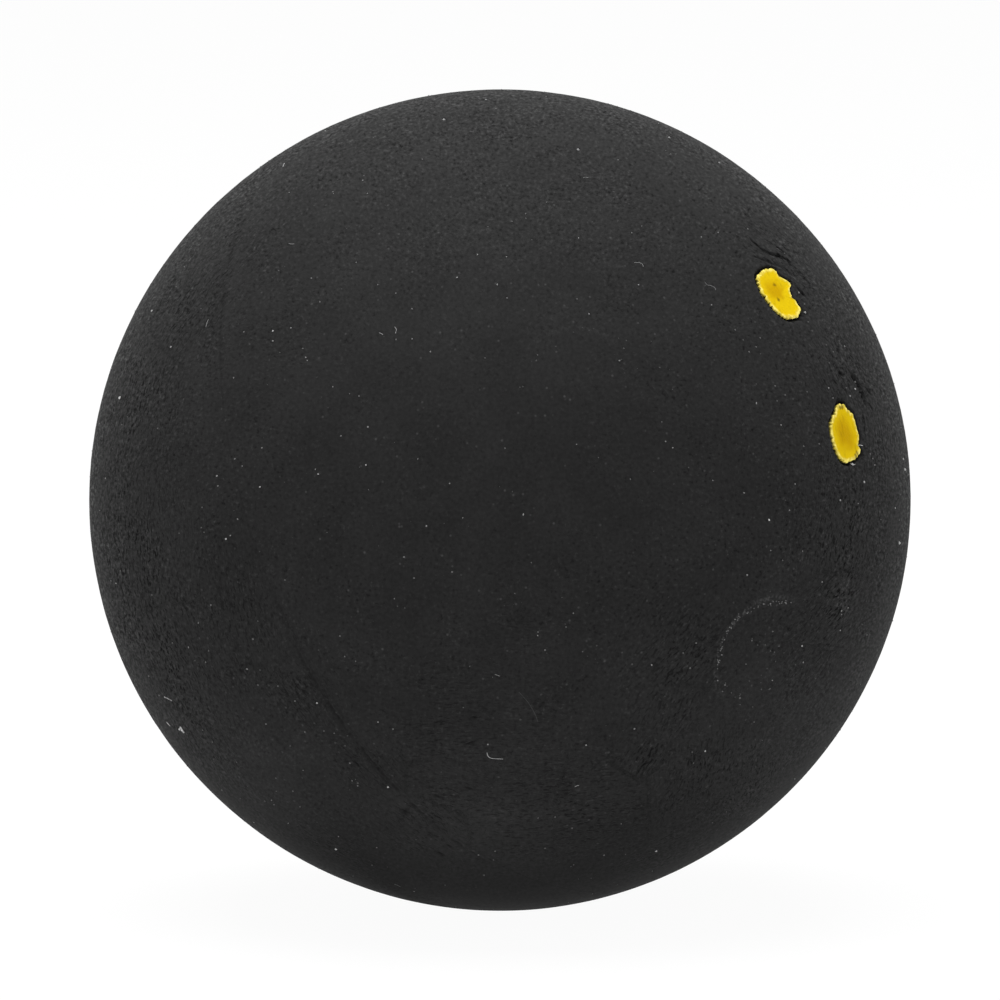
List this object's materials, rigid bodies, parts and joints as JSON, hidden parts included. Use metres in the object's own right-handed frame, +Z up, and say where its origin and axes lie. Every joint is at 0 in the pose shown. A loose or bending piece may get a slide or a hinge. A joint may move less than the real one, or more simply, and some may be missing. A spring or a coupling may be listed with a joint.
{
  "type": "squash ball",
  "caption": "Hollow black rubber squash ball with a buffed matte surface, a bonded seam between its half shells, and yellow speed dots.",
  "frame": {"origin": "centre of the ball", "axes": "+Z up, -Y towards the viewer, +X to the viewer's right; the pole of the dotted half points to +X, -Y and up"},
  "size_m": [0.04, 0.04, 0.04],
  "materials": {
    "black_rubber": "matte, buffed, with fine grain and dust",
    "bond": "matte cured rubber adhesive",
    "yellow_dot": "matte opaque yellow ink, worn at the edge"
  },
  "bodies": {
    "root": {"dotted_half_shell": "black_rubber", "plain_half_shell": "black_rubber", "seam_bond": "bond", "upper_yellow_dot": "yellow_dot", "lower_yellow_dot": "yellow_dot"}
  },
  "joints": []
}
